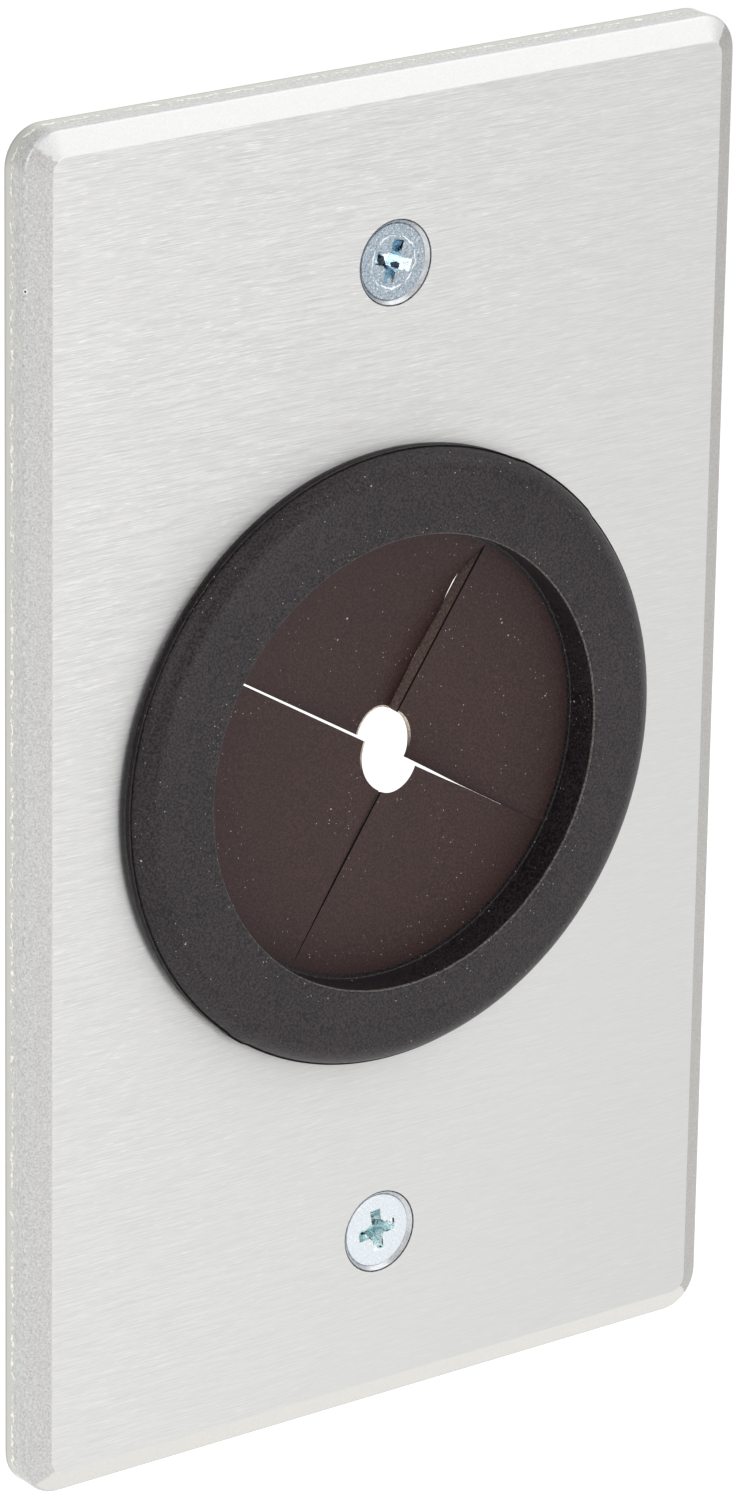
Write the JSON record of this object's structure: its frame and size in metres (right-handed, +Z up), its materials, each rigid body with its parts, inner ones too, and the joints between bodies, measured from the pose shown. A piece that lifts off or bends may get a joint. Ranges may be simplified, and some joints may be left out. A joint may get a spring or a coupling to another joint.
{
  "type": "grommet wall plate",
  "caption": "Bevelled metal wall plate with a slit rubber cable grommet in its middle, held by a countersunk screw above and below.",
  "frame": {"origin": "middle of the plate's flat back face, midway between the two screws, where the plate meets the wall", "axes": "+Z up, +Y into the wall, so the front looks along -Y, and +X to the viewer's right"},
  "size_m": [0.0698, 0.0158, 0.1142],
  "materials": {
    "brushed_aluminium": "brushed along the width, satin bevel",
    "black_rubber": "matt moulded rubber",
    "zinc_screw": "blue-white zinc plate"
  },
  "bodies": {
    "root": {"wall_plate": "brushed_aluminium", "grommet": "black_rubber", "screw_top": "zinc_screw", "screw_bottom": "zinc_screw"}
  },
  "joints": []
}
